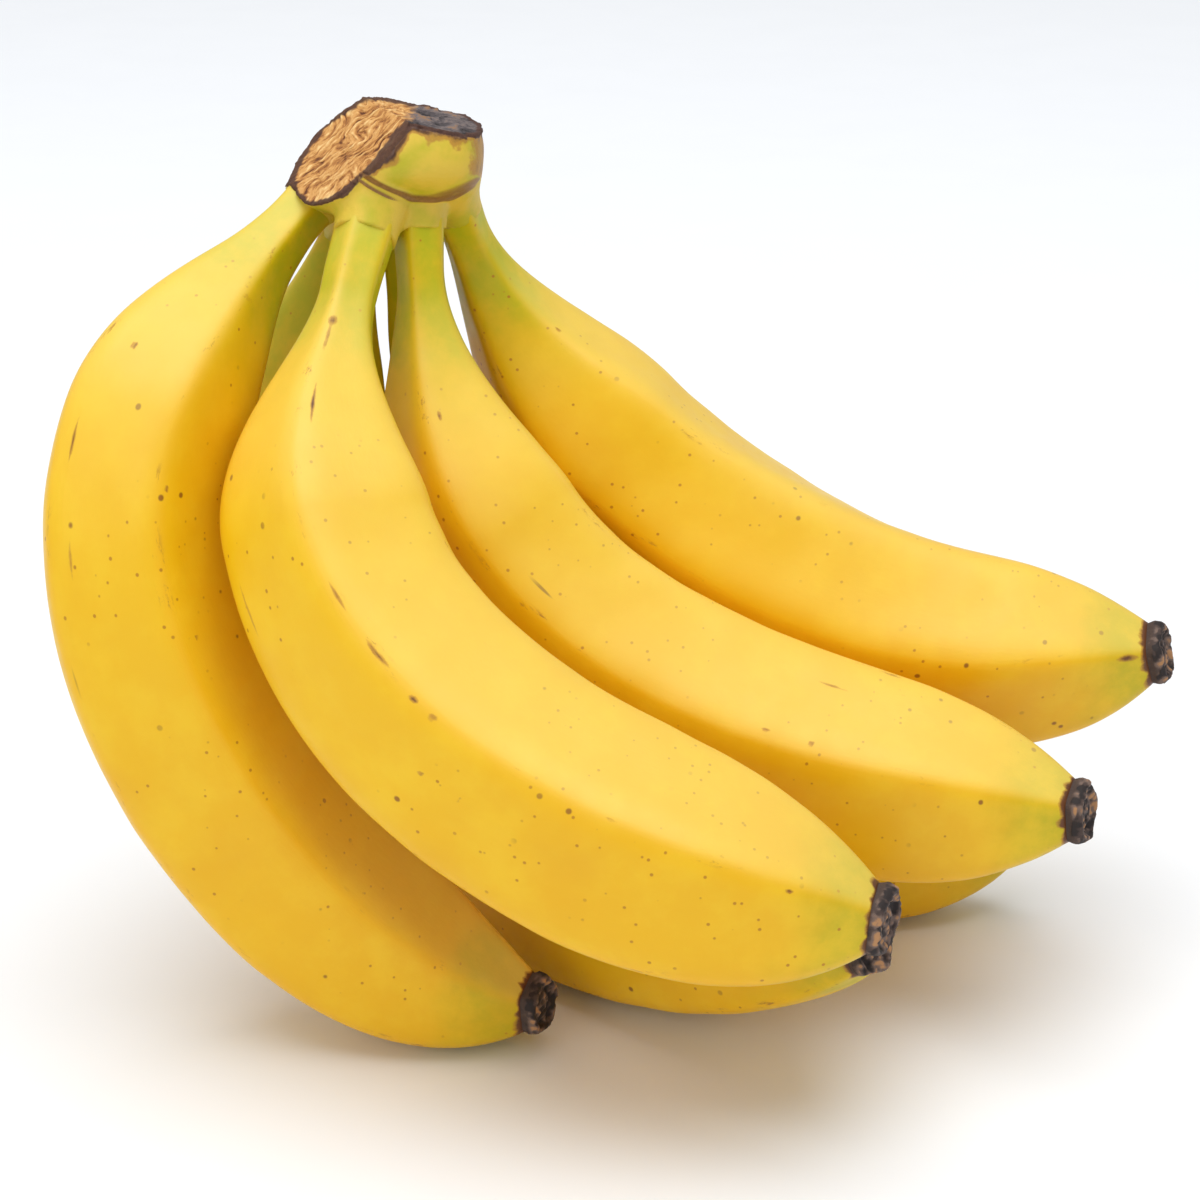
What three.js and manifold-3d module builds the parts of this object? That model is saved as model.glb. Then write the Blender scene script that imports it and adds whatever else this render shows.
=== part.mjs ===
// A cut hand of six bananas, resting on the bellies of its lower row.
// Millimetres, +Z up, origin on the surface under the middle of the hand.
// +X is the way the fingers point and -Y is the side of the front finger.
import * as THREE from 'three';
import { mergeVertices } from 'three/addons/utils/BufferGeometryUtils.js';
import Module from 'manifold-3d';

const wasm = await Module();
wasm.setup();

// Driving dimensions
const bodyRadius = 18;
const neckRadius = 4.6;
const tipRadius = 5.6;
const tipDepth = 2.6;
const clearance = 0.3;

// Where along a finger, as a share of its length, its girth changes
const flareEnd = 0.07;
const fullFrom = 0.3;
const fullAt = 0.62;
const taperFrom = 0.66;
const taperPower = 3.6;
const shoulderGirth = 0.9;
const neckFlare = 0.02;

// Cross-section: five flattish sides that meet in rounded ridges
const sides = 20;
const rings = 26;
const facets = 5;
const ridgeSharpness = 8;
const sectionTrim = 1.06;

// Each finger bends along six guide points, from the crown to the blossom end. Width scales its
// girth and neck its neck, swell is the two shares of its length between which it fills out, and
// ridge turns its first ridge, in degrees, at the crown and at the tip.
const fingers = [
  {
    name: 'left', width: 0.98, neck: 1.02, swell: [0.026, 0.276], ridge: [9, 3],
    bend: [[-56, 34, 145], [-93, -4.5, 111], [-98.2, -14, 100.4], [-82.1, -10.4, 52.6], [-58.8, 0.5, 8.3],
      [-18.6, -16, 9.9]],
  },
  {
    name: 'front', width: 1.1, neck: 1.12, swell: [0.08, 0.33], ridge: [-20, 3],
    bend: [[-46.5, 22.5, 143], [-56.9, -7, 107.9], [-60.9, -20, 89.7], [-37, -34.4, 66], [-4.2, -40, 47],
      [38.4, -49, 44.1]],
  },
  {
    name: 'middle', width: 1.03, neck: 0.96, swell: [0.06, 0.33], ridge: [-7, 25],
    bend: [[-38, 28, 143.5], [-38.4, 14, 97.2], [-23.8, 8, 70], [6.9, 5, 53.4], [43.5, 1, 42.7],
      [76.3, -13, 46.2]],
  },
  {
    name: 'right', width: 1.03, neck: 0.92, swell: [0.034, 0.345], ridge: [-25, 36],
    bend: [[-32.5, 34.5, 144], [-26, 50.5, 112.4], [-1.4, 41.8, 84.7], [31.1, 32, 61.5], [62, 36, 52.3],
      [95.6, 25, 60.2]],
  },
  {
    name: 'under_front', width: 0.895, neck: 1.13, swell: [0, 0.168], ridge: [40, 30],
    bend: [[-50, 40, 138], [-75, 43, 74.6], [-61, 48, 29.7], [-40.1, 48, 8], [-7.5, 17.6, 4.4],
      [38.2, -35, 31.4]],
  },
  {
    name: 'under_middle', width: 0.87, neck: 1, swell: [0.06, 0.52], ridge: [10, 30],
    bend: [[-40.5, 43.8, 139.5], [-44.7, 45.3, 97], [-30.3, 39.5, 56.3], [4, 40, 22], [40.9, 39, 2.1],
      [73.5, 37.5, 17]],
  },
];

// Crown: a cushion of stalk with two knife cuts, one facing left and forward, one facing up
const crownCentre = new THREE.Vector3(-43, 32, 151);
const crownReach = new THREE.Vector3(17, 14, 12.5);
const crownSides = 28;
const crownRings = 18;
const stubReach = 12;
const stubFlare = 1.16;
const socketEnd = 0.12;
const socketRings = 4;
const socketRoom = 0.4;
const cuts = [
  { facing: new THREE.Vector3(-0.62, -0.45, 0.64), depth: 8.5 },
  { facing: new THREE.Vector3(0.24, -0.1, 0.95), depth: 10.8 },
];

// Moves the whole hand so that its bounding box is centred over the origin
const centring = new THREE.Vector3(0.9, 0.9, 0);

// Outline of a blossom end from its seat outwards, as shares of its radius and of its depth
const tipOutline = [[0, 0], [0.97, 0], [1.06, 0.4], [0.96, 1], [0.7, 1.05], [0.45, 0.6], [0, 0.75]];

// Colours
const peel = { color: '#efc52c', roughness: 0.5 };
const stalk = { color: '#a87c46', roughness: 0.85 };
const blossomEnd = { color: '#3b2c24', roughness: 0.9 };

const smooth = THREE.MathUtils.smoothstep;

// A smooth curve drawn towards its guide points, by repeated halving of the way between them
class Bend extends THREE.Curve {
  constructor(points) {
    super();
    this.points = points.map((point) => new THREE.Vector3(...point));
  }

  getPoint(t, target = new THREE.Vector3()) {
    let row = this.points;
    while (row.length > 1) {
      row = row.slice(1).map((point, i) => row[i].clone().lerp(point, t));
    }
    return target.copy(row[0]);
  }
}

// Radius of a finger at a share of its length
function girth(share, finger) {
  const neck = neckRadius * finger.neck * (1 + neckFlare * (1 - smooth(share, 0, flareEnd)));
  const filled = THREE.MathUtils.lerp(shoulderGirth, 1, smooth(share, fullFrom, fullAt));
  const body = bodyRadius * finger.width * filled;
  const radius = neck + (body - neck) * smooth(share, ...finger.swell);
  const taper = Math.max(0, (share - taperFrom) / (1 - taperFrom)) ** taperPower;
  return radius * (1 - taper) + tipRadius * finger.width * taper;
}

// How far the ridged cross-section stands out at an angle from its first ridge
function section(angle) {
  let sum = 0;
  for (let side = 0; side < facets; side += 1) {
    const facing = ((side + 0.5) * 2 * Math.PI) / facets;
    sum += Math.max(0, Math.cos(angle - facing)) ** ridgeSharpness;
  }
  return sum ** (-1 / ridgeSharpness) / sectionTrim;
}

// The directions across a finger at a share of its length: one out of its bend plane, one in it
function across(curve, share) {
  const start = curve.getPoint(0);
  const middle = curve.getPoint(0.5);
  const end = curve.getPoint(1);
  const planeNormal = middle.clone().sub(start).cross(end.sub(middle));
  const along = curve.getTangentAt(share);
  const out = planeNormal.addScaledVector(along, -planeNormal.dot(along)).normalize();
  return { out, inward: out.clone().cross(along), along };
}

// Bends a lathed shape, whose height is a length along the finger, onto the finger's curve
function bendOnto(geometry, curve, finger) {
  const length = curve.getLength();
  const position = geometry.attributes.position;
  for (let i = 0; i < position.count; i += 1) {
    const radius = Math.hypot(position.getX(i), position.getZ(i));
    const angle = Math.atan2(position.getZ(i), position.getX(i));
    const height = position.getY(i);
    const share = THREE.MathUtils.clamp(height / length, 0, 1);
    const { out, inward, along } = across(curve, share);
    const ridge = THREE.MathUtils.lerp(...finger.ridge, share);
    const turn = angle + THREE.MathUtils.degToRad(ridge);
    const reach = radius * section(angle);
    const point = curve.getPointAt(share)
      .addScaledVector(along, height - share * length)
      .addScaledVector(out, reach * Math.cos(turn))
      .addScaledVector(inward, reach * Math.sin(turn));
    position.setXYZ(i, point.x, point.y, point.z);
  }
  return geometry;
}

// Solids for cutting and joining

const cutterSize = 400;
const weldDistance = 1e-4;

function toSolid(geometry) {
  const bare = geometry.clone();
  bare.deleteAttribute('normal');
  bare.deleteAttribute('uv');
  const merged = mergeVertices(bare, weldDistance);
  const index = merged.index.array;
  const triangles = [];
  for (let i = 0; i < index.length; i += 3) {
    const [a, b, c] = [index[i], index[i + 1], index[i + 2]];
    if (a !== b && b !== c && c !== a) {
      triangles.push(a, b, c);
    }
  }
  const mesh = new wasm.Mesh({
    numProp: 3,
    vertProperties: new Float32Array(merged.attributes.position.array),
    triVerts: new Uint32Array(triangles),
  });
  const solid = new wasm.Manifold(mesh);
  if (solid.volume() > 0) {
    return solid;
  }
  for (let i = 0; i < triangles.length; i += 3) {
    [triangles[i], triangles[i + 1]] = [triangles[i + 1], triangles[i]];
  }
  mesh.triVerts.set(triangles);
  return new wasm.Manifold(mesh);
}

function toMesh(name, solid, look) {
  const { vertProperties, triVerts } = solid.getMesh();
  const geometry = new THREE.BufferGeometry();
  geometry.setAttribute('position', new THREE.BufferAttribute(vertProperties, 3));
  geometry.setIndex(new THREE.BufferAttribute(triVerts, 1));
  geometry.translate(centring.x, centring.y, centring.z);
  geometry.computeVertexNormals();
  const mesh = new THREE.Mesh(geometry, new THREE.MeshStandardMaterial({ ...look, metalness: 0 }));
  mesh.name = name;
  return mesh;
}

// Takes away everything past a plane that faces the given way
function cutOff(solid, point, facing) {
  const block = new THREE.BoxGeometry(cutterSize, cutterSize, cutterSize);
  block.translate(0, 0, cutterSize / 2);
  const up = new THREE.Vector3(0, 0, 1);
  const turn = new THREE.Quaternion().setFromUnitVectors(up, facing.clone().normalize());
  block.applyQuaternion(turn);
  block.translate(point.x, point.y, point.z);
  return solid.subtract(toSolid(block));
}

// The form of a finger between two shares of its length, grown outwards by some room all round
function fingerForm(finger, curve, from, to, ringCount, room) {
  const length = curve.getLength();
  const profile = [new THREE.Vector2(0, from * length)];
  for (let ring = 0; ring <= ringCount; ring += 1) {
    const share = THREE.MathUtils.lerp(from, to, ring / ringCount);
    profile.push(new THREE.Vector2(girth(share, finger) + room, share * length));
  }
  profile.push(new THREE.Vector2(0, to * length));
  return toSolid(bendOnto(new THREE.LatheGeometry(profile, sides), curve, finger));
}

// One finger of fruit, from just below the crown to its blossom end, flat where it rests
function banana(finger, curve) {
  const start = clearance / curve.getLength();
  const solid = fingerForm(finger, curve, start, 1, rings, 0);
  return cutOff(solid, new THREE.Vector3(0, 0, 0), new THREE.Vector3(0, 0, -1));
}

// The dry blossom end: a shallow dark plug with a raised rim round a hollow
function blossom(finger, curve) {
  const start = curve.getLength() + clearance;
  const radius = tipRadius * finger.width;
  const profile = tipOutline.map(([out, up]) => new THREE.Vector2(radius * out, start + tipDepth * up));
  return toSolid(bendOnto(new THREE.LatheGeometry(profile, sides), curve, finger));
}

// The short stub of a neck that belongs to the crown, from inside the crown to the finger's start
function stub(finger, curve) {
  const radius = girth(0, finger);
  const profile = [
    new THREE.Vector2(0, -stubReach),
    new THREE.Vector2(radius * stubFlare, -stubReach),
    new THREE.Vector2(radius * stubFlare, -radius),
    new THREE.Vector2(radius, 0),
    new THREE.Vector2(0, 0),
  ];
  return toSolid(bendOnto(new THREE.LatheGeometry(profile, sides), curve, finger));
}

function crown(curves) {
  const cushion = new THREE.SphereGeometry(1, crownSides, crownRings);
  cushion.scale(crownReach.x, crownReach.y, crownReach.z);
  cushion.translate(crownCentre.x, crownCentre.y, crownCentre.z);
  let solid = toSolid(cushion);
  fingers.forEach((finger, i) => {
    solid = solid.add(stub(finger, curves[i]));
  });
  for (const { facing, depth } of cuts) {
    const point = crownCentre.clone().addScaledVector(facing.clone().normalize(), depth);
    solid = cutOff(solid, point, facing);
  }
  fingers.forEach((finger, i) => {
    solid = solid.subtract(fingerForm(finger, curves[i], 0, socketEnd, socketRings, socketRoom));
  });
  return solid;
}

const bunch = new THREE.Group();
const curves = fingers.map((finger) => new Bend(finger.bend));
bunch.add(toMesh('crown', crown(curves), stalk));
fingers.forEach((finger, i) => {
  bunch.add(toMesh(`banana_${finger.name}`, banana(finger, curves[i]), peel));
  bunch.add(toMesh(`tip_${finger.name}`, blossom(finger, curves[i]), blossomEnd));
});

export default bunch;
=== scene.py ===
"""A cut hand of six ripe bananas, resting on a pale floor in soft studio light."""
import itertools
import math

import bmesh
import bpy
import numpy as np
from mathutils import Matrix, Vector


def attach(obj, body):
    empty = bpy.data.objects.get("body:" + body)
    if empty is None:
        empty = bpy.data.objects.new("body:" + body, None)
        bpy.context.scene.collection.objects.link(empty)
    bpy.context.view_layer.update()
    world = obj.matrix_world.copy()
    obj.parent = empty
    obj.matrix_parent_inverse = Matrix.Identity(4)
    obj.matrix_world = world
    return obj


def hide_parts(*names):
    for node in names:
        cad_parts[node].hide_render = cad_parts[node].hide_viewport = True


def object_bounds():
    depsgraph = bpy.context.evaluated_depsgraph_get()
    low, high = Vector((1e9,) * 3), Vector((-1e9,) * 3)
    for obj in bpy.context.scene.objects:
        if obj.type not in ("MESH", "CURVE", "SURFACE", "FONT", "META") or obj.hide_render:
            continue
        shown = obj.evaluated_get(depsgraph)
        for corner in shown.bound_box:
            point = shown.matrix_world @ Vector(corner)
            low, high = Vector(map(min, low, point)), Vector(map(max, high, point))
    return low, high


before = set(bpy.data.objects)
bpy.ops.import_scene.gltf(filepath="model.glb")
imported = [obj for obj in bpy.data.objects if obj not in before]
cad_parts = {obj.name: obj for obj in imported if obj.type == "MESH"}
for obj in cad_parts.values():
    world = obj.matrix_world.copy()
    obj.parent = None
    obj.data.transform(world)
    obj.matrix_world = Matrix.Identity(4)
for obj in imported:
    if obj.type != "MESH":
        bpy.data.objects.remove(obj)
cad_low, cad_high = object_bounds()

MM = 0.001
FULL_TURN = 2 * math.pi

# Driving dimensions of the fingers, in millimetres, as in the solids
BODY_RADIUS = 18
NECK_RADIUS = 4.6
TIP_RADIUS = 5.6
TIP_DEPTH = 2.6
CLEARANCE = 0.3

# Where along a finger, as a share of its length, its girth changes
FLARE_END = 0.07
FULL_FROM = 0.3
FULL_AT = 0.62
TAPER_FROM = 0.66
TAPER_POWER = 3.6
SHOULDER_GIRTH = 0.9
NECK_FLARE = 0.02

# Cross-section: five flattish sides that meet in rounded ridges
FACETS = 5
RIDGE_SHARPNESS = 8
SECTION_TRIM = 1.06

# How finely a finger is drawn, how far its neck runs up into the crown, and how far its skin is
# drawn in so that its dents and lumps stay inside the solid
RINGS = 320
SIDES = 160
NECK_SINK = 3
SKIN_INSET = 0.35

# Relief of a finger's skin, in millimetres: its broad dents, its finer ripples, its ridge lines, and
# the dark fringe that the blossom end leaves on its tip
DENT_HEIGHT = 0.3
DENT_SIZE = 22
RIPPLE_HEIGHT = 0.12
RIPPLE_SIZE = 7
RIDGE_HEIGHT = 0.12
RIDGE_WIDTH = 1.1
FRINGE = 1.6

# Far enough apart that no two pieces show the same stretch of noise
SKIN_NOISE_SPACING = 100
BLOSSOM_NOISE_SPACING = 40
RIPPLE_SEED = 50
SPOKE_SEED = 60
SCRAP_SEED = 9

# Moves the whole hand so that its bounding box is centred over the origin, as in the solids
CENTRING = np.array((0.9, 0.9, 0))

# Each finger: the girth of its body and neck, the two shares of its length between which it fills
# out, its first ridge at the crown and at the tip in degrees, and the six guide points of its bend.
# These numbers began as a computed fit to traced outlines, and were then edited.
FINGERS = {
    "left": {
        "width": 0.98, "neck": 1.02, "swell": (0.026, 0.276), "ridge": (9, 3),
        "bend": [(-56, 34, 145), (-93, -4.5, 111), (-98.2, -14, 100.4), (-82.1, -10.4, 52.6),
                 (-58.8, 0.5, 8.3), (-18.6, -16, 9.9)],
    },
    "front": {
        "width": 1.1, "neck": 1.12, "swell": (0.08, 0.33), "ridge": (-20, 3), "tip_turn": 0.22,
        "bend": [(-46.5, 22.5, 143), (-56.9, -7, 107.9), (-60.9, -20, 89.7), (-37, -34.4, 66),
                 (-4.2, -40, 47), (38.4, -49, 44.1)],
    },
    "middle": {
        "width": 1.03, "neck": 0.96, "swell": (0.06, 0.33), "ridge": (-7, 25),
        "bend": [(-38, 28, 143.5), (-38.4, 14, 97.2), (-23.8, 8, 70), (6.9, 5, 53.4),
                 (43.5, 1, 42.7), (76.3, -13, 46.2)],
    },
    "right": {
        "width": 1.03, "neck": 0.92, "swell": (0.034, 0.345), "ridge": (-25, 36),
        "bend": [(-32.5, 34.5, 144), (-26, 50.5, 112.4), (-1.4, 41.8, 84.7), (31.1, 32, 61.5),
                 (62, 36, 52.3), (95.6, 25, 60.2)],
    },
    "under_front": {
        "width": 0.895, "neck": 1.13, "swell": (0, 0.168), "ridge": (40, 30),
        "bend": [(-50, 40, 138), (-75, 43, 74.6), (-61, 48, 29.7), (-40.1, 48, 8),
                 (-7.5, 17.6, 4.4), (38.2, -35, 31.4)],
    },
    "under_middle": {
        "width": 0.87, "neck": 1, "swell": (0.06, 0.52), "ridge": (10, 30),
        "bend": [(-40.5, 43.8, 139.5), (-44.7, 45.3, 97), (-30.3, 39.5, 56.3), (4, 40, 22),
                 (40.9, 39, 2.1), (73.5, 37.5, 17)],
    },
}

# Brown marks on the skins: place along the finger in millimetres, angle from its first ridge in
# degrees, length, width and strength. Places and angles were computed from listed spots.
MARKS = {
    "left": [(60, -61, 5, 0.45, 0.8), (75, -57, 6, 0.4, 0.8), (45, -48, 1, 0.8, 0.8),
             (64, 4, 0.8, 0.7, 0.9), (89, 12, 0.8, 0.7, 0.9), (28, 4, 1.5, 4, 0.42)],
    "front": [(22, 8, 1.6, 1.3, 0.75), (26, 8, 6, 0.6, 0.6), (39, 9, 6, 0.5, 0.85), (72, 0, 6, 0.6, 0.6),
              (83, 0, 5, 0.9, 0.7), (92, -2, 1.5, 0.8, 0.9), (96, -3, 1.8, 1.1, 0.75),
              (100, -30, 0.8, 0.7, 0.9), (107, -28, 0.8, 0.7, 0.8), (129, -1, 2.6, 0.6, 0.9),
              (161, -5, 1.1, 0.6, 0.8), (67, -61, 8, 0.35, 0.6)],
    "middle": [(120, 6, 1.8, 0.6, 0.9), (129, 47, 5, 0.35, 0.6), (143, 57, 4, 0.4, 0.7),
               (129, 6, 1, 0.7, 0.8), (36, 12, 1.4, 0.6, 0.8)],
    "right": [(167, -5, 3, 1, 0.9), (135, 60, 4, 0.5, 0.5), (32, 76, 1.4, 0.6, 0.7)],
}

# Blossom end: its profile as shares of the tip's radius and depth, how finely it is drawn, how far
# it is drawn in to stay inside the solid, and how sharp its five corners are
BLOSSOM_PROFILE = [
    (0.9, -0.5), (0.97, 0.1), (1.03, 0.4), (1.0, 0.8), (0.92, 1.0), (0.82, 0.98),
    (0.74, 0.8), (0.62, 0.62), (0.5, 0.66), (0.38, 0.8), (0.25, 0.72), (0.12, 0.8),
]
BLOSSOM_RINGS = 44
BLOSSOM_SIDES = 96
BLOSSOM_TRIM = 0.98
BLOSSOM_SHARPNESS = 9
BLOSSOM_RELIEF = 0.45
BLOSSOM_HIGHEST = 1.04

# Crown: its middle, and the three directions that its leaning front face is measured along
CROWN_CENTRE = np.array((-43.5, 32, 153.2))
LEAN = math.radians(22)
CROWN_RIGHT = np.array((1, 0, 0))
CROWN_UP = np.array((0, math.sin(LEAN), math.cos(LEAN)))
CROWN_FRONT = np.array((0, -math.cos(LEAN), math.sin(LEAN)))

# The crown's knife cuts, as the way each faces (right, up, front) and its depth; the two slopes of
# its left shoulder; the lip along the bottom of its front lobe; how far the collars run down the
# necks; and the way the fibres run across the left cut
LEFT_CUT = (-0.6, 0.47, 0.65)
LEFT_CUT_DEPTH = 6.8
TOP_CUT = (0.23, 0.93, 0.3)
TOP_CUT_DEPTH = 7.3
SHOULDERS = [(-0.86, 0.51, 12.9), (-0.515, 0.857, 10)]
LIP_LOW = -9.35
LIP_CURVE = 0.04
LIP_MIDDLE = 6.2
LIP_STEP = 1.3
COLLAR = 3.5
FIBRE_ALONG = (0.75, 0.66)
FIBRE_ACROSS = (-0.66, 0.75)

# How the crown's surface is found along each ray from its middle, in millimetres
CROWN_FURTHEST = 32.0
CROWN_STEP = 0.4
CROWN_HALVINGS = 10


# Shaping

def smoothstep(low, high, value):
    """0 at low and 1 at high, with a soft start and end. High may be below low."""
    share = np.clip((value - low) / (high - low), 0, 1)
    return share * share * (3 - 2 * share)


def smooth_noise(points, size, seed):
    """Smooth noise from -1 to 1 with lumps of about the given size."""
    lattice_size = 32
    lattice = np.random.default_rng(seed).uniform(-1, 1, (lattice_size,) * 3)
    cell = np.asarray(points) / size
    low = np.floor(cell).astype(int)
    part = smoothstep(0, 1, cell - low)
    total = 0
    for corner in itertools.product((0, 1), repeat=3):
        weight = 1
        for axis, step in enumerate(corner):
            weight = weight * (part[..., axis] if step else 1 - part[..., axis])
        at = [(low[..., axis] + step) % lattice_size for axis, step in enumerate(corner)]
        total = total + weight * lattice[at[0], at[1], at[2]]
    return total


def unit(vectors):
    return vectors / np.linalg.norm(vectors, axis=-1, keepdims=True)


class Bend:
    """The curve that a finger follows, drawn towards its guide points."""

    samples = 2000

    def __init__(self, guide_points):
        self.guides = np.array(guide_points, dtype=float)
        turns = np.linspace(0, 1, self.samples + 1)
        steps = np.diff(self.at(turns), axis=0)
        travelled = np.concatenate([[0], np.cumsum(np.linalg.norm(steps, axis=1))])
        self.length = travelled[-1]
        self.turns = turns
        self.travelled = travelled / self.length
        start, middle, end = self.at(np.array((0, 0.5, 1)))
        self.plane_normal = np.cross(middle - start, end - middle)

    def row(self, guides, t):
        points = [guide + 0 * t[:, None] for guide in guides]
        while len(points) > 1:
            points = [a + (b - a) * t[:, None] for a, b in zip(points, points[1:])]
        return points[0]

    def at(self, t):
        return self.row(self.guides, t)

    def along(self, t):
        return unit(self.row(np.diff(self.guides, axis=0), t))

    def axes(self, shares):
        """Point, direction along, direction out of the bend and direction inward, at each share."""
        t = np.interp(shares, self.travelled, self.turns)
        along = self.along(t)
        point = self.at(t)
        beyond = (shares - np.clip(shares, 0, 1)) * self.length
        point = point + along * beyond[:, None]
        normal = self.plane_normal - along * (along @ self.plane_normal)[:, None]
        out = unit(normal)
        return point, along, out, np.cross(out, along)


def girth(shares, finger):
    neck = NECK_RADIUS * finger["neck"] * (1 + NECK_FLARE * smoothstep(FLARE_END, 0, shares))
    filled = SHOULDER_GIRTH + (1 - SHOULDER_GIRTH) * smoothstep(FULL_FROM, FULL_AT, shares)
    body = BODY_RADIUS * finger["width"] * filled
    radius = neck + (body - neck) * smoothstep(*finger["swell"], shares)
    taper = np.clip((shares - TAPER_FROM) / (1 - TAPER_FROM), 0, 1) ** TAPER_POWER
    return radius * (1 - taper) + TIP_RADIUS * finger["width"] * taper


def section(angles, sharpness=RIDGE_SHARPNESS):
    """How far the ridged cross-section stands out at an angle from its first ridge."""
    total = 0
    for side in range(FACETS):
        facing = (side + 0.5) * FULL_TURN / FACETS
        total = total + np.clip(np.cos(angles - facing), 0, None) ** sharpness
    return total ** (-1 / sharpness) / SECTION_TRIM


def ridge_distance(angles, radii):
    """Millimetres round the skin from the nearest ridge."""
    between = FULL_TURN / FACETS
    off = np.abs((angles + between / 2) % between - between / 2)
    return off * radii


# Meshes

def mesh_object(name, points_mm, faces, attributes=None):
    mesh = bpy.data.meshes.new(name)
    mesh.from_pydata(((points_mm + CENTRING) * MM).tolist(), [], faces)
    mesh.update()
    for label, values in (attributes or {}).items():
        flat = np.asarray(values, dtype=np.float32)
        kind = "FLOAT" if flat.ndim == 1 else "FLOAT_VECTOR"
        layer = mesh.attributes.new(label, kind, "POINT")
        layer.data.foreach_set("value" if kind == "FLOAT" else "vector", flat.ravel())
    for polygon in mesh.polygons:
        polygon.use_smooth = True
    piece = bpy.data.objects.new(name, mesh)
    bpy.context.scene.collection.objects.link(piece)
    return piece


def tube_faces(ring_count, side_count):
    """Quads between rings of points, closed by a fan at each end round two extra points."""
    faces = []
    for ring in range(ring_count - 1):
        for side in range(side_count):
            following = (side + 1) % side_count
            here = ring * side_count
            there = here + side_count
            faces.append((here + side, here + following, there + following, there + side))
    start, end = ring_count * side_count, ring_count * side_count + 1
    last = (ring_count - 1) * side_count
    for side in range(side_count):
        following = (side + 1) % side_count
        faces.append((start, following, side))
        faces.append((end, last + side, last + following))
    return faces


def banana(name, finger, seed):
    """One finger of fruit: ridged skin with soft dents, green towards its neck and its tip."""
    bend = Bend(finger["bend"])
    first = -NECK_SINK / bend.length
    shares = np.linspace(first, 1, RINGS)
    angles = np.arange(SIDES) * FULL_TURN / SIDES
    point, _, out, inward = bend.axes(shares)
    start_turn, end_turn = (math.radians(turn) for turn in finger["ridge"])
    turns = angles[None, :] + (start_turn + (end_turn - start_turn) * shares)[:, None]
    radii = girth(shares, finger)[:, None] * section(angles)[None, :]
    straight = np.stack([
        radii * np.cos(angles), radii * np.sin(angles), (shares * bend.length)[:, None] + 0 * radii,
    ], axis=-1)
    swell = smoothstep(0.1, 0.4, shares)[:, None] * smoothstep(1, 0.8, shares)[:, None]
    noise_place = straight + SKIN_NOISE_SPACING * seed
    radii = radii + DENT_HEIGHT * swell * smooth_noise(noise_place, DENT_SIZE, seed)
    radii = radii + RIPPLE_HEIGHT * smooth_noise(noise_place, RIPPLE_SIZE, seed + RIPPLE_SEED)
    ridge = np.exp(-(ridge_distance(angles[None, :], radii) / RIDGE_WIDTH) ** 2)
    radii = radii + RIDGE_HEIGHT * ridge * swell - SKIN_INSET * smoothstep(0, 0.1, shares)[:, None]
    reach = radii[..., None]
    skin = (point[:, None, :] + reach * np.cos(turns)[..., None] * out[:, None, :]
            + reach * np.sin(turns)[..., None] * inward[:, None, :])
    skin = np.concatenate([skin.reshape(-1, 3), point[:1], point[-1:]])
    skin[:, 2] = np.maximum(skin[:, 2], 0)
    spread = shares[:, None] + 0 * radii

    def with_ends(values, start, end):
        return np.concatenate([values.ravel(), [start, end]])

    stain = stains(MARKS.get(name, ()), shares * bend.length, angles, radii)
    rim = np.stack([np.cos(angles), np.sin(angles), 0 * angles], axis=-1)
    spokes = smooth_noise(rim * 6, 1, seed + SPOKE_SEED)
    reach_back = (FRINGE * (1 + 0.8 * spokes) / bend.length)[None, :]
    stain = np.maximum(stain, smoothstep(1 - reach_back, 1, shares[:, None] + 0 * reach_back))
    attributes = {
        "stain": with_ends(stain, 0, 0),
        "along": with_ends(spread, first, 1),
        "ridge": with_ends(ridge, 0, 0),
        "straight": np.concatenate([straight.reshape(-1, 3), straight[:1, 0], straight[-1:, 0]]),
    }
    piece = mesh_object(f"peel_{name}", skin, tube_faces(RINGS, SIDES), attributes)
    piece.data.materials.append(peel_material(name, seed))
    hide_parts(f"banana_{name}")
    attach(piece, "root")


def stains(marks, lengths, angles, radii):
    """How stained each point of a skin is, from the marks listed for it."""
    total = np.zeros_like(radii)
    for place, turn, length, width, strength in marks:
        off = (angles[None, :] - math.radians(turn) + math.pi) % FULL_TURN - math.pi
        across = off * radii / width
        ahead = (lengths[:, None] - place) / length
        total = np.maximum(total, strength * np.exp(-(across ** 2 + ahead ** 2) * 2))
    return total


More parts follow.
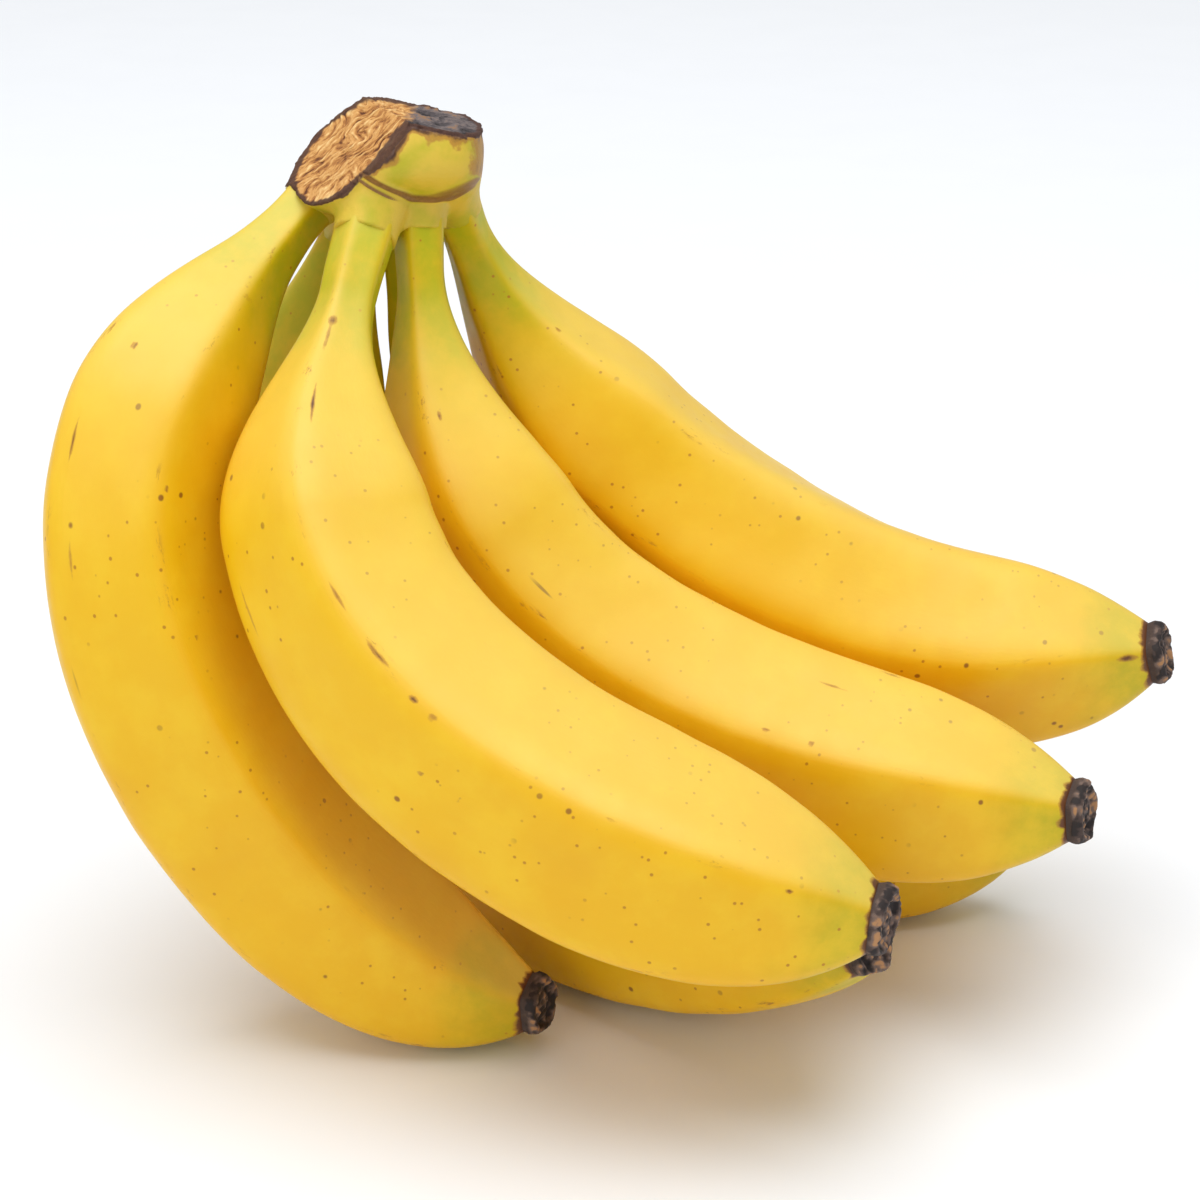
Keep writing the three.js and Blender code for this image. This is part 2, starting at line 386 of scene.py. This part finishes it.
def blossom(name, finger, seed):
    """The dry blossom end: a rugged dark disc with a raised rim and folded scraps inside."""
    bend = Bend(finger["bend"])
    radius = TIP_RADIUS * finger["width"] * BLOSSOM_TRIM
    stations = np.linspace(0, len(BLOSSOM_PROFILE) - 1, BLOSSOM_RINGS)
    profile_outs, profile_ups = zip(*BLOSSOM_PROFILE)
    outs = np.interp(stations, range(len(BLOSSOM_PROFILE)), profile_outs)
    ups = np.interp(stations, range(len(BLOSSOM_PROFILE)), profile_ups)
    angles = np.arange(BLOSSOM_SIDES) * FULL_TURN / BLOSSOM_SIDES
    point, along, out, inward = bend.axes(np.array([1.0]))
    outs_grid = outs[:, None] * radius * section(angles, BLOSSOM_SHARPNESS)[None, :]
    ups_grid = ups[:, None] * TIP_DEPTH + 0 * outs_grid
    where = np.stack([outs_grid * np.cos(angles), outs_grid * np.sin(angles), ups_grid], axis=-1)
    noise_place = where + BLOSSOM_NOISE_SPACING * seed
    lumps = smooth_noise(noise_place, 1.3, seed) + 0.5 * smooth_noise(noise_place, 0.6, seed + SCRAP_SEED)
    top = smoothstep(0.1, 0.6, ups)[:, None]
    outs_grid = outs_grid * (1 - 0.03 * top * (1 + lumps))
    ups_grid = np.minimum(ups_grid + BLOSSOM_RELIEF * top * lumps, TIP_DEPTH * BLOSSOM_HIGHEST)
    turns = angles[None, :] + math.radians(finger["ridge"][1])
    facing = unit(along[0] + np.array((0, -finger.get("tip_turn", 0), 0)))
    out = unit(out - facing * (out @ facing)[:, None])
    inward = np.cross(out, facing)
    base = point[0] + along[0] * CLEARANCE
    skin = (base + facing * ups_grid[..., None] + out[0] * (outs_grid * np.cos(turns))[..., None]
            + inward[0] * (outs_grid * np.sin(turns))[..., None])
    ends = np.stack([base - facing * 0.5 * TIP_DEPTH, base + facing * 0.8 * TIP_DEPTH])
    skin = np.concatenate([skin.reshape(-1, 3), ends])
    raised = np.concatenate([(lumps * top).ravel(), [0, 0]])
    faces = tube_faces(BLOSSOM_RINGS, BLOSSOM_SIDES)
    piece = mesh_object(f"blossom_{name}", skin, faces, {"raised": raised})
    piece.data.materials.append(blossom_material())
    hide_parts(f"tip_{name}")
    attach(piece, "root")


# Crown

def crown_axes(points):
    """Points seen from the crown's middle: how far right, up its leaning front, and forward."""
    away = points - CROWN_CENTRE
    return away @ CROWN_RIGHT, away @ CROWN_UP, away @ CROWN_FRONT


def lump(right, up, front, centre, reach, power):
    """Negative inside a rounded block, positive outside, roughly in millimetres."""
    total = (np.abs((right - centre[0]) / reach[0]) ** power
             + np.abs((up - centre[1]) / reach[1]) ** power
             + np.abs((front - centre[2]) / reach[2]) ** power)
    return (total ** (1 / power) - 1) * min(reach)


def blend_union(a, b, softness):
    share = np.clip(0.5 + 0.5 * (b - a) / softness, 0, 1)
    return b + (a - b) * share - softness * share * (1 - share)


def neck_field(points, finger):
    """Negative inside the flared top of a finger's neck."""
    bend = Bend(finger["bend"])
    start, along, _, _ = bend.axes(np.array([0.0]))
    away = points - start[0]
    height = away @ along[0]
    off = np.linalg.norm(away - height[..., None] * along[0], axis=-1)
    radius = NECK_RADIUS * finger["neck"] * (1.09 + 0.25 * smoothstep(COLLAR, -6, height))
    return np.maximum(off - radius, np.maximum(height - COLLAR, -11 - height))


def crown_skin(right, up, front):
    """Negative inside the crown before it is cut: two rounded blocks grown into one."""
    lumps = blend_union(
        lump(right, up, front, (6.2, -0.3, 0), (10.3, 9.3, 12.8), 3),
        lump(right, up, front, (-6.5, -0.6, 0), (10.6, 11.2, 12.5), 3), 3)
    for turn_right, turn_up, depth in SHOULDERS:
        lumps = -blend_union(-lumps, depth - right * turn_right - up * turn_up, 1.5)
    return lumps


def crown_cuts(right, up, front):
    """How far outside the two knife cuts a point lies: the left one, and the one across the top."""
    left = right * LEFT_CUT[0] + up * LEFT_CUT[1] + front * LEFT_CUT[2] - LEFT_CUT_DEPTH
    top = right * TOP_CUT[0] + up * TOP_CUT[1] + front * TOP_CUT[2] - TOP_CUT_DEPTH
    return left, top


def lip_height(right):
    """How far up the crown's front the lip runs."""
    return LIP_LOW + LIP_CURVE * (right - LIP_MIDDLE) ** 2


def below_edge(height, right, front):
    """1 where the height above an edge is negative, on the front lobe only."""
    return smoothstep(0.25, -0.25, height) * smoothstep(-1, 3, front) * smoothstep(-6, -3, right)


def crown_field(points):
    """Negative inside the crown, with its knife cuts, its lip and the tops of the necks."""
    right, up, front = crown_axes(points)
    lip = lip_height(right)
    below = below_edge(up - lip, right, front)
    further = below_edge(up - lip + LIP_STEP, right, front)
    skin = crown_skin(right, up, front) + 0.9 * below + 0.7 * further
    left, top = crown_cuts(right, up, front)
    body = np.maximum(skin, np.maximum(left, top))
    for finger in FINGERS.values():
        body = blend_union(body, neck_field(points, finger), 1.6)
    return body


def crown_relief(points):
    """Which part of the crown each point is on, and how far its surface stands out there."""
    right, up, front = crown_axes(points)
    left, top = crown_cuts(right, up, front)
    skin = crown_skin(right, up, front)
    place = np.stack([right, up, front], axis=-1)
    ragged = 0.5 * smooth_noise(place, 1.6, 31) + 0.3 * smooth_noise(place, 0.7, 32)
    nearest_cut = np.maximum(left, top)
    cut = smoothstep(-0.75, -0.35, nearest_cut + 0.3 * ragged) * smoothstep(2.5, 0.5, skin)
    charred = cut * smoothstep(-0.8, 0.8, right - 4 + ragged * 1.5)
    rim = 0.9 + 0.9 * smoothstep(-9, -2, right) * smoothstep(6, 0, right)
    inside_edge = cut * smoothstep(-rim, -0.2, skin + 0.7 * ragged)
    outside_edge = (1 - cut) * smoothstep(-0.75 * rim, -0.3, nearest_cut + ragged)
    lip = lip_height(right)
    on_lobe = smoothstep(-1, 3, front) * smoothstep(-7, -4, right)
    sway = 0.25 * smooth_noise(place, 3, 39)
    seam = np.exp(-((up - lip + 0.35 + sway) / 0.55) ** 2)
    second_seam = np.exp(-((up - lip + 1.6 - sway) / 0.4) ** 2) * smoothstep(4, 0, right)
    seam = np.maximum(seam, second_seam)
    scorched = smoothstep(-3.6, 0.2, nearest_cut + 1.5 * smooth_noise(place, 2.6, 40) + ragged)
    scorched = np.maximum(scorched, 0.7 * smoothstep(12.5, 16.5, right + smooth_noise(place, 2.5, 41)))
    wave = 1.9 * smooth_noise(place, 3.6, 33) + 0.5 * smooth_noise(place, 1.3, 42)
    fibre_place = np.stack([
        right * FIBRE_ACROSS[0] + up * FIBRE_ACROSS[1] + wave,
        (right * FIBRE_ALONG[0] + up * FIBRE_ALONG[1]) * 0.2,
        front * 0.3,
    ], axis=-1)
    fibre = smooth_noise(fibre_place, 0.46, 34) + 0.6 * smooth_noise(fibre_place, 0.26, 35)
    plates = smooth_noise(place * (1, 1, 0.4), 2.4, 36) + 0.7 * smooth_noise(place * (1, 1, 0.5), 0.8, 37)
    dents = smooth_noise(place, 5, 38)
    relief = (cut * (1 - charred) * (0.24 * fibre - 0.22)
              + charred * (0.5 * plates - 0.35)
              + (1 - cut) * 0.35 * dents
              + 0.35 * (inside_edge + outside_edge) * (1 + ragged)
              + 0.5 * np.clip(seam, 0, 1) * on_lobe * (1 - cut))
    parts = {
        "cut": cut,
        "charred": charred,
        "plates": plates,
        "edge": np.clip(inside_edge + outside_edge, 0, 1),
        "seam": np.clip(seam * on_lobe * (1 - cut), 0, 1),
        "fibre": fibre,
        "scorched": scorched * smoothstep(-0.5, 1, up - lip) * smoothstep(-9, -6, right),
        "grain": fibre_place,
    }
    return relief, parts


def crown():
    """The cut crown, found along rays from its middle and raised or sunk by its relief."""
    ball = bmesh.new()
    bmesh.ops.create_icosphere(ball, subdivisions=7, radius=1)
    directions = np.array([vertex.co[:] for vertex in ball.verts])
    faces = [[vertex.index for vertex in face.verts] for face in ball.faces]
    ball.free()
    low = np.zeros(len(directions))
    found = np.zeros(len(directions), dtype=bool)
    for reach in np.arange(CROWN_FURTHEST, 0, -CROWN_STEP):
        inside = crown_field(CROWN_CENTRE + directions * reach) < 0
        low = np.where(inside & ~found, reach, low)
        found |= inside
    high = low + CROWN_STEP
    for _ in range(CROWN_HALVINGS):
        middle = (low + high) / 2
        inside = crown_field(CROWN_CENTRE + directions * middle[:, None]) < 0
        low = np.where(inside, middle, low)
        high = np.where(inside, high, middle)
    relief, parts = crown_relief(CROWN_CENTRE + directions * low[:, None])
    points = CROWN_CENTRE + directions * (low + relief)[:, None]
    points[:, 2] = np.minimum(points[:, 2], cad_high[2] / MM)
    piece = mesh_object("crown_stalk", points, faces, parts)
    piece.data.materials.append(crown_material())
    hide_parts("crown")
    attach(piece, "root")


# Materials

class Nodes:
    """A material's node tree, with short calls for the nodes used here."""

    def __init__(self, name):
        self.material = bpy.data.materials.new(name)
        self.material.use_nodes = True
        self.tree = self.material.node_tree
        self.shader = self.tree.nodes["Principled BSDF"]

    def link(self, source, socket):
        self.tree.links.new(source, socket)

    def add(self, kind, **settings):
        node = self.tree.nodes.new(kind)
        for label, value in settings.items():
            setattr(node, label, value)
        return node

    def attribute(self, name, output="Fac"):
        return self.add("ShaderNodeAttribute", attribute_name=name).outputs[output]

    def put(self, socket, value):
        if isinstance(value, bpy.types.NodeSocket):
            self.link(value, socket)
        else:
            socket.default_value = value

    def math(self, operation, a, b):
        node = self.add("ShaderNodeMath", operation=operation)
        self.put(node.inputs[0], a)
        self.put(node.inputs[1], b)
        return node.outputs[0]

    def ramp(self, value, stops):
        node = self.add("ShaderNodeValToRGB")
        node.color_ramp.interpolation = "EASE"
        elements = node.color_ramp.elements
        while len(elements) < len(stops):
            elements.new(0.5)
        for element, (position, colour) in zip(elements, stops):
            element.position = position
            element.color = (*colour, 1) if isinstance(colour, tuple) else (colour, colour, colour, 1)
        self.link(value, node.inputs["Fac"])
        return node.outputs["Color"]

    def mix(self, share, a, b):
        node = self.add("ShaderNodeMix", data_type="RGBA")
        self.put(node.inputs["Factor"], share)
        self.put(node.inputs["A"], (*a, 1) if isinstance(a, tuple) else a)
        self.put(node.inputs["B"], (*b, 1) if isinstance(b, tuple) else b)
        return node.outputs["Result"]

    def noise(self, vector, scale, detail, roughness=0.5):
        node = self.add("ShaderNodeTexNoise")
        self.link(vector, node.inputs["Vector"])
        node.inputs["Scale"].default_value = scale
        node.inputs["Detail"].default_value = detail
        node.inputs["Roughness"].default_value = roughness
        return node.outputs["Fac"]

    def stretched(self, vector, scale):
        node = self.add("ShaderNodeMapping")
        self.link(vector, node.inputs["Vector"])
        node.inputs["Scale"].default_value = scale
        return node.outputs["Vector"]

    def moved(self, vector, distance):
        node = self.add("ShaderNodeVectorMath", operation="ADD")
        self.link(vector, node.inputs[0])
        node.inputs[1].default_value = (distance, distance, distance)
        return node.outputs["Vector"]

    def centred(self, value, strength):
        return self.math("MULTIPLY", self.math("SUBTRACT", value, 0.5), strength)

    def bump(self, height, strength, distance):
        node = self.add("ShaderNodeBump")
        self.link(height, node.inputs["Height"])
        node.inputs["Strength"].default_value = strength
        node.inputs["Distance"].default_value = distance
        self.link(node.outputs["Normal"], self.shader.inputs["Normal"])


def srgb(red, green, blue):
    """A colour given in display values from 0 to 255, as the linear values a shader uses."""
    def linear(value):
        share = value / 255
        return share / 12.92 if share <= 0.04045 else ((share + 0.055) / 1.055) ** 2.4
    return linear(red), linear(green), linear(blue)


def peel_material(name, seed):
    """Yellow skin, green at the neck and near the tip, with freckles, streaks and scuffed ridges.
    Skin that faces up in the world is painted paler, in place of light."""
    nodes = Nodes(f"peel_{name}")
    straight = nodes.attribute("straight", "Vector")
    along = nodes.attribute("along")
    ridge = nodes.attribute("ridge")
    wander = nodes.noise(straight, 0.06, 3)
    colour = nodes.ramp(nodes.math("ADD", along, nodes.centred(wander, 0.12)), [
        (0.0, srgb(184, 186, 8)), (0.1, srgb(186, 184, 6)), (0.18, srgb(228, 188, 10)),
        (0.28, srgb(238, 188, 14)), (0.9, srgb(236, 182, 8)), (0.985, srgb(190, 174, 6)),
    ])
    mottle = nodes.noise(straight, 0.1, 5, 0.62)
    colour = nodes.mix(nodes.ramp(mottle, [(0.38, 0.0), (0.72, 0.55)]), colour, srgb(243, 200, 34))
    warm = nodes.noise(straight, 0.045, 3)
    colour = nodes.mix(nodes.ramp(warm, [(0.45, 0.0), (0.8, 0.35)]), colour, srgb(226, 162, 4))
    colour = nodes.mix(nodes.math("MULTIPLY", ridge, 0.3), colour, srgb(240, 180, 16))
    colour = nodes.mix(freckles(nodes, straight, 0.17, 0.08, 0.55, seed), colour, srgb(140, 82, 20))
    colour = nodes.mix(freckles(nodes, straight, 0.36, 0.1, 0.5, seed + 7), colour, srgb(184, 120, 16))
    colour = nodes.mix(streaks(nodes, straight, seed), colour, srgb(120, 66, 22))
    # Painted highlight: skin that faces up in the world is mixed towards pale yellow, standing in for the
    # overhead light.
    up = nodes.add("ShaderNodeSeparateXYZ")
    nodes.link(nodes.add("ShaderNodeNewGeometry").outputs["Normal"], up.inputs[0])
    colour = nodes.mix(nodes.ramp(up.outputs["Z"], [(0.2, 0.0), (0.85, 0.4)]), colour, srgb(246, 218, 120))
    scuff = nodes.noise(nodes.stretched(straight, (1, 1, 0.3)), 0.5, 6, 0.75)
    patches = nodes.noise(straight, 0.07, 2)
    scuffed = nodes.math("MULTIPLY", nodes.ramp(scuff, [(0.55, 0.0), (0.66, 1.0)]),
                         nodes.ramp(patches, [(0.5, 0.0), (0.62, 1.0)]))
    scuffed = nodes.math("MULTIPLY", scuffed, nodes.ramp(ridge, [(0.15, 0.0), (0.7, 0.75)]))
    colour = nodes.mix(scuffed, colour, srgb(160, 96, 40))
    stain = nodes.attribute("stain")
    rough_stain = nodes.math("ADD", stain, nodes.centred(scuff, 0.9))
    colour = nodes.mix(nodes.ramp(rough_stain, [(0.28, 0.0), (0.5, 0.6)]), colour, srgb(176, 112, 40))
    colour = nodes.mix(nodes.ramp(rough_stain, [(0.45, 0.0), (0.85, 0.95)]), colour, srgb(96, 52, 32))
    nodes.link(colour, nodes.shader.inputs["Base Color"])
    gloss = nodes.noise(straight, 0.3, 4)
    nodes.link(nodes.ramp(gloss, [(0.3, 0.4), (0.7, 0.48)]), nodes.shader.inputs["Roughness"])
    nodes.shader.inputs["Specular IOR Level"].default_value = 0.3
    nodes.shader.inputs["Coat Weight"].default_value = 0.12
    nodes.shader.inputs["Coat Roughness"].default_value = 0.36
    nodes.shader.inputs["Subsurface Weight"].default_value = 0.1
    nodes.shader.inputs["Subsurface Radius"].default_value = (1.0, 0.6, 0.1)
    nodes.shader.inputs["Subsurface Scale"].default_value = 2 * MM
    grain = nodes.noise(nodes.stretched(straight, (1, 1, 0.35)), 1.2, 5, 0.6)
    nodes.bump(nodes.math("ADD", grain, nodes.math("MULTIPLY", rough_stain, -0.3)), 0.16, 0.25 * MM)
    return nodes.material


def freckles(nodes, vector, scale, size, rarity, seed):
    """1 inside small round spots, which come in loose clusters."""
    cells = nodes.add("ShaderNodeTexVoronoi")
    nodes.link(nodes.moved(vector, seed * 37.0), cells.inputs["Vector"])
    cells.inputs["Scale"].default_value = scale
    spot = nodes.ramp(cells.outputs["Distance"], [(size * 0.7, 1.0), (size * 1.4, 0.0)])
    cluster = nodes.noise(nodes.moved(vector, seed * 11.0), 0.035, 2)
    chosen = nodes.ramp(cluster, [(rarity - 0.06, 0.0), (rarity + 0.02, 0.9)])
    return nodes.math("MULTIPLY", spot, chosen)


def streaks(nodes, vector, seed):
    """1 inside a few thin scratches that run the length of the finger."""
    cells = nodes.add("ShaderNodeTexVoronoi")
    nodes.link(nodes.moved(nodes.stretched(vector, (1, 1, 0.09)), seed * 53.0), cells.inputs["Vector"])
    cells.inputs["Scale"].default_value = 0.14
    thin = nodes.ramp(cells.outputs["Distance"], [(0.03, 0.8), (0.055, 0.0)])
    cluster = nodes.noise(nodes.moved(vector, seed * 5.0), 0.03, 1)
    return nodes.math("MULTIPLY", thin, nodes.ramp(cluster, [(0.52, 0.0), (0.58, 1.0)]))


def blossom_material():
    """Dry dark tissue: grey-brown folds with rusty scraps where it stands up."""
    nodes = Nodes("blossom_end")
    place = nodes.add("ShaderNodeTexCoord").outputs["Object"]
    fine = nodes.noise(place, 900, 4, 0.7)
    raised = nodes.math("ADD", nodes.attribute("raised"), nodes.math("MULTIPLY", fine, 0.6))
    colour = nodes.ramp(raised, [
        (0.0, srgb(36, 26, 24)), (0.3, srgb(70, 54, 48)),
        (0.65, srgb(112, 92, 82)), (1.0, srgb(172, 126, 84)),
    ])
    nodes.link(colour, nodes.shader.inputs["Base Color"])
    nodes.shader.inputs["Roughness"].default_value = 0.75
    nodes.bump(fine, 0.5, 0.3 * MM)
    return nodes.material


def crown_material():
    """Fibrous tan cut, charred top, scorched edges and yellow-green skin, by part of the crown."""
    nodes = Nodes("crown_stalk")
    place = nodes.add("ShaderNodeTexCoord").outputs["Object"]
    fine = nodes.noise(place, 1400, 5, 0.7)
    broad = nodes.noise(place, 170, 3)
    cut, edge = nodes.attribute("cut"), nodes.attribute("edge")
    skin = nodes.mix(nodes.ramp(broad, [(0.3, 0.0), (0.65, 1.0)]), srgb(190, 180, 30), srgb(222, 190, 60))
    patchy = nodes.centred(nodes.noise(place, 500, 4, 0.6), 0.7)
    scorch = nodes.math("ADD", nodes.attribute("scorched"), patchy)
    skin = nodes.mix(nodes.ramp(scorch, [(0.32, 0.0), (0.55, 0.75)]), skin, srgb(176, 116, 40))
    skin = nodes.mix(nodes.ramp(scorch, [(0.62, 0.0), (0.95, 0.95)]), skin, srgb(84, 48, 28))
    strands = nodes.noise(nodes.attribute("grain", "Vector"), 3, 4, 0.6)
    fibre = nodes.math("ADD", nodes.math("MULTIPLY", nodes.attribute("fibre"), 0.3), strands)
    tan = nodes.ramp(nodes.math("ADD", fibre, nodes.centred(fine, 0.3)), [
        (0.16, srgb(96, 50, 22)), (0.36, srgb(172, 114, 56)),
        (0.56, srgb(212, 156, 88)), (0.84, srgb(240, 200, 134)),
    ])
    flakes = nodes.math("ADD", nodes.math("MULTIPLY", nodes.attribute("plates"), 0.3), fine)
    char = nodes.ramp(flakes, [
        (0.2, srgb(34, 26, 26)), (0.5, srgb(76, 68, 70)),
        (0.7, srgb(116, 104, 102)), (0.9, srgb(150, 112, 78)),
    ])
    colour = nodes.mix(cut, skin, nodes.mix(nodes.attribute("charred"), tan, char))
    burnt = nodes.mix(fine, srgb(34, 20, 18), srgb(104, 66, 50))
    colour = nodes.mix(nodes.ramp(edge, [(0.25, 0.0), (0.7, 0.95)]), colour, burnt)
    colour = nodes.mix(nodes.ramp(nodes.attribute("seam"), [(0.2, 0.0), (0.75, 0.95)]), colour,
                       nodes.mix(fine, srgb(78, 44, 22), srgb(170, 120, 62)))
    nodes.link(colour, nodes.shader.inputs["Base Color"])
    nodes.link(nodes.ramp(cut, [(0.0, 0.5), (1.0, 0.85)]), nodes.shader.inputs["Roughness"])
    nodes.bump(nodes.math("ADD", fine, nodes.math("MULTIPLY", strands, cut)), 0.45, 0.3 * MM)
    return nodes.material


# Studio, in metres: a pale floor, a big soft light overhead, a weak one from the front left, an even
# glow all round, and the camera

FLOOR_REACH = 3
WORLD_GLOW = 0.45
KEY_PLACE = (-0.1, -0.25, 2.3)
KEY_SIZE = 2.6
KEY_POWER = 49
FILL_PLACE = (-1.3, -1.9, 1.1)
FILL_SIZE = 1.5
FILL_POWER = 9
LIT_POINT = Vector((0, 0, 0.07))
CAMERA_AIM = Vector((-5.5, 2.9, 80)) * MM
CAMERA_ELEVATION = math.radians(21.85)
CAMERA_DISTANCE = 525 * MM
CAMERA_LENS = 89.9
CAMERA_SENSOR = 36


def floor():
    bpy.ops.mesh.primitive_plane_add(size=2 * FLOOR_REACH, location=(0, 0, 0))
    ground = bpy.context.object
    ground.name = "floor"
    nodes = Nodes("floor")
    grain = nodes.noise(nodes.add("ShaderNodeTexCoord").outputs["Object"], 30, 2)
    colour = nodes.ramp(grain, [(0.0, srgb(244, 247, 251)), (1.0, srgb(246, 249, 253))])
    nodes.link(colour, nodes.shader.inputs["Base Color"])
    nodes.shader.inputs["Roughness"].default_value = 0.9
    ground.data.materials.append(nodes.material)


def area_light(name, place, size, power):
    data = bpy.data.lights.new(name, "AREA")
    data.shape = "DISK"
    data.size = size
    data.energy = power
    light = bpy.data.objects.new(name, data)
    light.location = place
    light.rotation_euler = (LIT_POINT - Vector(place)).to_track_quat("-Z", "Y").to_euler()
    bpy.context.scene.collection.objects.link(light)


def studio():
    scene = bpy.context.scene
    world = bpy.data.worlds.new("studio")
    world.use_nodes = True
    world.node_tree.nodes["Background"].inputs["Color"].default_value = (1, 1, 1, 1)
    world.node_tree.nodes["Background"].inputs["Strength"].default_value = WORLD_GLOW
    scene.world = world
    scene.view_settings.view_transform = "Standard"
    area_light("key", KEY_PLACE, KEY_SIZE, KEY_POWER)
    area_light("fill", FILL_PLACE, FILL_SIZE, FILL_POWER)
    floor()


def camera():
    data = bpy.data.cameras.new("camera")
    data.lens = CAMERA_LENS
    data.sensor_width = CAMERA_SENSOR
    eye = bpy.data.objects.new("camera", data)
    back = Vector((0, -math.cos(CAMERA_ELEVATION), math.sin(CAMERA_ELEVATION)))
    eye.location = CAMERA_AIM + back * CAMERA_DISTANCE
    eye.rotation_euler = (-back).to_track_quat("-Z", "Y").to_euler()
    bpy.context.scene.collection.objects.link(eye)
    bpy.context.scene.camera = eye


for number, (finger_name, finger_form) in enumerate(FINGERS.items()):
    banana(finger_name, finger_form, number + 1)
    blossom(finger_name, finger_form, number + 1)
crown()
studio()
camera()
